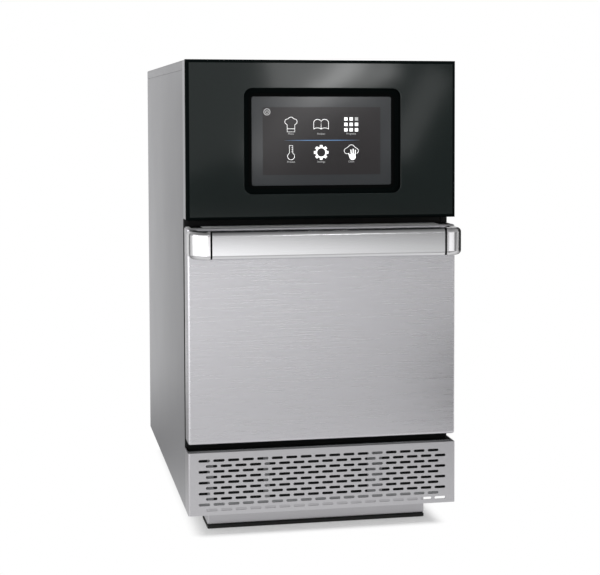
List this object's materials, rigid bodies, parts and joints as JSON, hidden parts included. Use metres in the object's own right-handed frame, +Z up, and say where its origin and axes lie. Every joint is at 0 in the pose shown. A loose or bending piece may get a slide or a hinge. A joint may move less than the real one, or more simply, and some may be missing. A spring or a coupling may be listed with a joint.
{
  "type": "speed oven",
  "caption": "Compact stainless speed oven with a touch-screen panel, a drop-down door with a full-width handle, a slotted air filter panel and two foot rails.",
  "frame": {"origin": "centre of the bounding box at floor level, under the feet", "axes": "+Z up, the door and the control panel face -Y, +X is to the right of a person facing them"},
  "size_m": [0.356, 0.6924, 0.62],
  "materials": {
    "base_tray": "plain mill finish steel",
    "left_side_panel": "brushed stainless sheet",
    "right_side_panel": "brushed stainless sheet",
    "top_cover": "brushed stainless sheet",
    "rear_panel": "brushed stainless sheet",
    "front_frame": "plain mill finish steel",
    "front_foot_rail": "brushed stainless sheet",
    "rear_foot_rail": "brushed stainless sheet",
    "front_foot_rubber": "matte",
    "rear_foot_rubber": "matte",
    "control_panel_housing": "brushed stainless sheet",
    "control_panel_fascia": "gloss black moulding",
    "touch_glass": "smoked, smooth",
    "screen_gasket": "foam",
    "display_module": "moulded, fine matte",
    "door_outer_skin": "brushed stainless sheet",
    "door_inner_panel": "brushed stainless sheet",
    "door_seal": "silicone",
    "door_insulation": "ceramic wool",
    "door_top_plug_left": "moulded, fine matte",
    "door_top_plug_right": "moulded, fine matte",
    "handle_bar": "brushed stainless sheet",
    "handle_spacer_left": "moulded, fine matte",
    "handle_spacer_right": "moulded, fine matte",
    "handle_end_left": "polished casting",
    "handle_end_right": "polished casting",
    "hinge_arm_left": "plain mill finish steel",
    "hinge_arm_right": "plain mill finish steel",
    "hinge_bracket_left": "plain mill finish steel",
    "hinge_bracket_right": "plain mill finish steel",
    "hinge_pin_left": "polished casting",
    "hinge_pin_right": "polished casting",
    "latch_hook_left": "plain mill finish steel",
    "latch_hook_right": "plain mill finish steel",
    "air_grille": "brushed stainless sheet",
    "filter_frame": "plain mill finish steel",
    "filter_mesh": "knitted mesh",
    "cavity_liner": "brushed stainless sheet",
    "cavity_insulation": "ceramic wool",
    "cavity_rear_wall": "brushed stainless sheet",
    "upper_jet_plate": "plain mill finish steel",
    "lower_jet_plate": "plain mill finish steel",
    "plate_runner_left": "plain mill finish steel",
    "plate_runner_right": "plain mill finish steel",
    "cook_plate": "dark non-stick coating",
    "fan_chamber": "brushed stainless sheet",
    "convection_fan": "brushed stainless sheet",
    "fan_shaft": "polished casting",
    "convection_motor": "grey paint",
    "heating_element": "heat-darkened sheath",
    "waveguide": "plain mill finish steel",
    "magnetron": "plain fins",
    "transformer_core": "varnished laminations",
    "transformer_winding": "enamelled copper wire",
    "capacitor": "plain can",
    "cooling_fan_frame": "moulded, fine matte",
    "cooling_fan_rotor": "moulded, fine matte",
    "component_shelf": "plain mill finish steel",
    "power_board": "circuit board",
    "cord_gland": "moulded, fine matte"
  },
  "bodies": {
    "oven": {"base_tray": "base_tray", "left_side_panel": "left_side_panel", "right_side_panel": "right_side_panel", "top_cover": "top_cover", "rear_panel": "rear_panel", "front_frame": "front_frame", "front_foot_rail": "front_foot_rail", "rear_foot_rail": "rear_foot_rail", "front_foot_rubber": "front_foot_rubber", "rear_foot_rubber": "rear_foot_rubber", "control_panel_housing": "control_panel_housing", "control_panel_fascia": "control_panel_fascia", "touch_glass": "touch_glass", "screen_gasket": "screen_gasket", "display_module": "display_module", "hinge_bracket_left": "hinge_bracket_left", "hinge_bracket_right": "hinge_bracket_right", "hinge_pin_left": "hinge_pin_left", "hinge_pin_right": "hinge_pin_right", "cavity_liner": "cavity_liner", "cavity_insulation": "cavity_insulation", "cavity_rear_wall": "cavity_rear_wall", "upper_jet_plate": "upper_jet_plate", "lower_jet_plate": "lower_jet_plate", "plate_runner_left": "plate_runner_left", "plate_runner_right": "plate_runner_right", "cook_plate": "cook_plate", "fan_chamber": "fan_chamber", "convection_motor": "convection_motor", "heating_element": "heating_element", "waveguide": "waveguide", "magnetron": "magnetron", "transformer_core": "transformer_core", "transformer_winding": "transformer_winding", "capacitor": "capacitor", "cooling_fan_frame": "cooling_fan_frame", "component_shelf": "component_shelf", "power_board": "power_board", "cord_gland": "cord_gland"},
    "door": {"door_outer_skin": "door_outer_skin", "door_inner_panel": "door_inner_panel", "door_seal": "door_seal", "door_insulation": "door_insulation", "door_top_plug_left": "door_top_plug_left", "door_top_plug_right": "door_top_plug_right", "handle_bar": "handle_bar", "handle_spacer_left": "handle_spacer_left", "handle_spacer_right": "handle_spacer_right", "handle_end_left": "handle_end_left", "handle_end_right": "handle_end_right", "hinge_arm_left": "hinge_arm_left", "hinge_arm_right": "hinge_arm_right", "latch_hook_left": "latch_hook_left", "latch_hook_right": "latch_hook_right"},
    "air_filter": {"air_grille": "air_grille", "filter_frame": "filter_frame", "filter_mesh": "filter_mesh"},
    "convection_rotor": {"convection_fan": "convection_fan", "fan_shaft": "fan_shaft"},
    "cooling_rotor": {"cooling_fan_rotor": "cooling_fan_rotor"}
  },
  "joints": [
    {"name": "door_hinge", "type": "hinge", "parent": "oven", "child": "door", "pos_m": [0, -0.2782, 0.1363], "axis": [1, 0, 0], "range_deg": [0, 90]},
    {"name": "filter_slide", "type": "slide", "parent": "oven", "child": "air_filter", "axis": [0, -1, 0], "range_m": [0, 0.06]},
    {"name": "convection_fan_spin", "type": "hinge", "parent": "oven", "child": "convection_rotor", "pos_m": [0, 0.1082, 0.2675], "axis": [0, 1, 0], "continuous": true},
    {"name": "cooling_fan_spin", "type": "hinge", "parent": "oven", "child": "cooling_rotor", "pos_m": [-0.0712, -0.2086, 0.0903], "axis": [0, 1, 0], "continuous": true}
  ]
}
